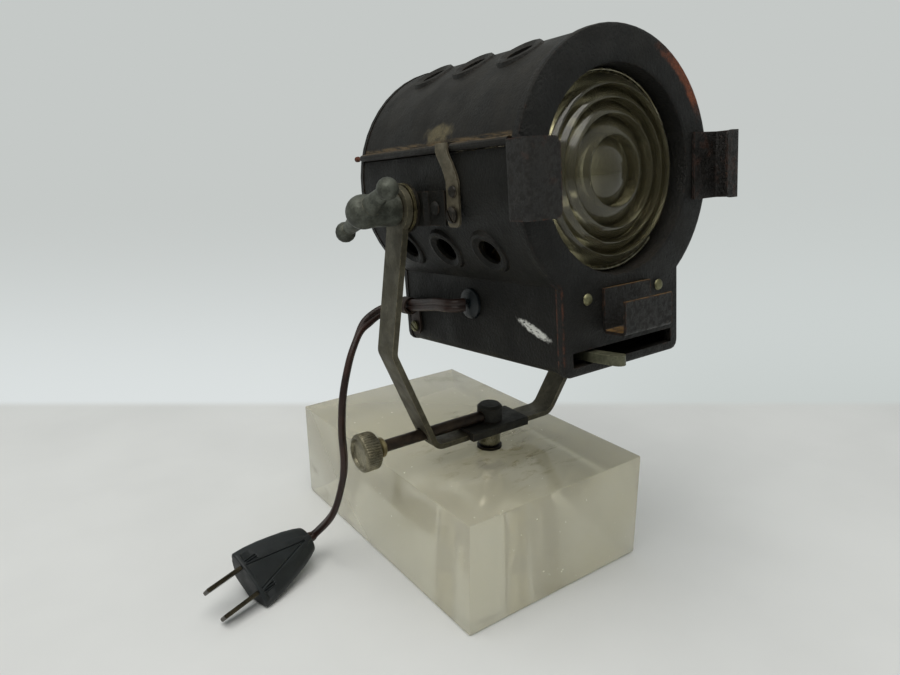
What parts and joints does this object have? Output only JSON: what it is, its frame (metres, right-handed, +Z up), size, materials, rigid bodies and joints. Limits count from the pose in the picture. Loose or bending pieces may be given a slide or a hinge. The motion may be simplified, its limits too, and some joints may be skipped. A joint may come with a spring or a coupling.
{
  "type": "fresnel spotlight",
  "caption": "Small vintage theatre spotlight with stepped lens, hinged vented hood and focus lever, in a tilting yoke on a clear display block, with cord and flat-blade plug.",
  "frame": {"origin": "centre of the display block's underside", "axes": "+Z up, the lamp faces -Y, +X to the right when seen from the lamp's front"},
  "size_m": [0.1884, 0.1857, 0.2261],
  "materials": {
    "acrylic": "clear, slightly yellowed cast acrylic",
    "bolt_steel": "zinc plated",
    "dark_steel": "blackened, worn",
    "nickel": "dull nickel plate",
    "yoke_paint": "aged bare steel with brown patina",
    "saddle_paint": "worn black paint",
    "grey_paint": "grey paint over a casting",
    "washer_brass": "dull",
    "rivet_brass": "tarnished",
    "crinkle_black": "crinkle finish",
    "hood_black": "crinkle finish, browned",
    "latch_steel": "worn",
    "rusty_steel": "rusty",
    "spring_steel": "bright wire",
    "lens_glass": "clear pressed glass",
    "bulb_glass": "clear",
    "bulb_brass": "lacquered",
    "porcelain": "glazed ceramic",
    "mirror": "polished",
    "rubber": "matt",
    "plug_rubber": "moulded",
    "blade_brass": "dark, tarnished",
    "cord_jacket": "brown",
    "clamp_paint": "brown-black"
  },
  "bodies": {
    "base": {"acrylic_block": "acrylic", "clamp_bolt": "bolt_steel", "bolt_washer": "bolt_steel", "top_washer": "dark_steel", "spacer": "nickel"},
    "yoke": {"yoke_strap": "yoke_paint", "hub_saddle": "saddle_paint", "spigot_hub": "saddle_paint", "friction_washer_left_inner": "dark_steel", "friction_washer_left_outer": "washer_brass", "friction_washer_right_inner": "dark_steel", "friction_washer_right_outer": "washer_brass", "pivot_bolt": "dark_steel", "cord_lower": "cord_jacket", "plug_body": "plug_rubber", "plug_blade_upper": "blade_brass", "plug_blade_lower": "blade_brass"},
    "lock_screw": {"lock_rod": "dark_steel", "lock_knob": "nickel"},
    "tilt_handle": {"tilt_knob": "grey_paint"},
    "head": {"front_plate": "crinkle_black", "housing": "crinkle_black", "back_plate": "crinkle_black", "fresnel_lens": "lens_glass", "lens_ring": "spring_steel", "filter_clip_left": "crinkle_black", "filter_clip_right": "crinkle_black", "filter_clip_bottom": "crinkle_black", "front_rivet_left": "rivet_brass", "front_rivet_right": "rivet_brass", "trunnion_bracket_left": "crinkle_black", "trunnion_bracket_right": "crinkle_black", "trunnion_nut_left": "bolt_steel", "trunnion_nut_right": "bolt_steel", "bracket_rivet_left_front": "crinkle_black", "bracket_rivet_left_rear": "crinkle_black", "bracket_rivet_right_front": "crinkle_black", "bracket_rivet_right_rear": "crinkle_black", "latch_foot": "latch_steel", "latch_rivet": "latch_steel", "latch_screw": "dark_steel", "grommet": "rubber", "cord_clamp": "clamp_paint", "clamp_screw": "rivet_brass", "carriage_rail_left": "bolt_steel", "carriage_rail_right": "bolt_steel", "lever_guide": "bolt_steel", "hinge_rod": "bolt_steel", "cord_upper": "cord_jacket"},
    "hood": {"hood": "hood_black", "latch_wire": "rusty_steel"},
    "latch": {"latch_hook": "latch_steel"},
    "lever": {"focus_lever": "grey_paint"},
    "carriage": {"lamp_carriage": "bolt_steel", "reflector": "mirror", "lamp_socket": "porcelain", "bulb_cap": "bulb_brass", "bulb": "bulb_glass"}
  },
  "joints": [
    {"name": "pan", "type": "hinge", "parent": "base", "child": "yoke", "pos_m": [0, -0.0241, 0.0597], "axis": [0, 0, 1], "range_deg": [-20, 45]},
    {"name": "lock", "type": "hinge", "parent": "yoke", "child": "lock_screw", "pos_m": [-0.04, -0.0241, 0.0664], "axis": [1, 0, 0], "range_deg": [-270, 0]},
    {"name": "tilt_clamp", "type": "hinge", "parent": "yoke", "child": "tilt_handle", "pos_m": [-0.06, -0.03652, 0.1656], "axis": [1, 0, 0], "range_deg": [-180, 0]},
    {"name": "tilt", "type": "hinge", "parent": "yoke", "child": "head", "pos_m": [0, -0.03652, 0.1656], "axis": [1, 0, 0], "range_deg": [-30, 50], "deforming": ["cord_upper"]},
    {"name": "hood_hinge", "type": "hinge", "parent": "head", "child": "hood", "pos_m": [0.0459, -0.0431, 0.18587], "axis": [0, 0.9949, -0.1011], "range_deg": [0, 105]},
    {"name": "latch_spring", "type": "hinge", "parent": "head", "child": "latch", "pos_m": [-0.04695, -0.06153, 0.17668], "axis": [0, -0.9949, 0.1011], "range_deg": [0, 20], "stiffness_Nm_per_rad": 0.1},
    {"name": "focus", "type": "slide", "parent": "head", "child": "lever", "axis": [1, 0, 0], "range_m": [-0.006, 0.038]},
    {"name": "carriage_slide", "type": "slide", "parent": "head", "child": "carriage", "axis": [0, 0.9949, -0.1011], "range_m": [-0.0228, 0.0036]}
  ],
  "couplings": [
    {"joint": "carriage_slide", "follows": "focus", "ratio": -0.6}
  ]
}
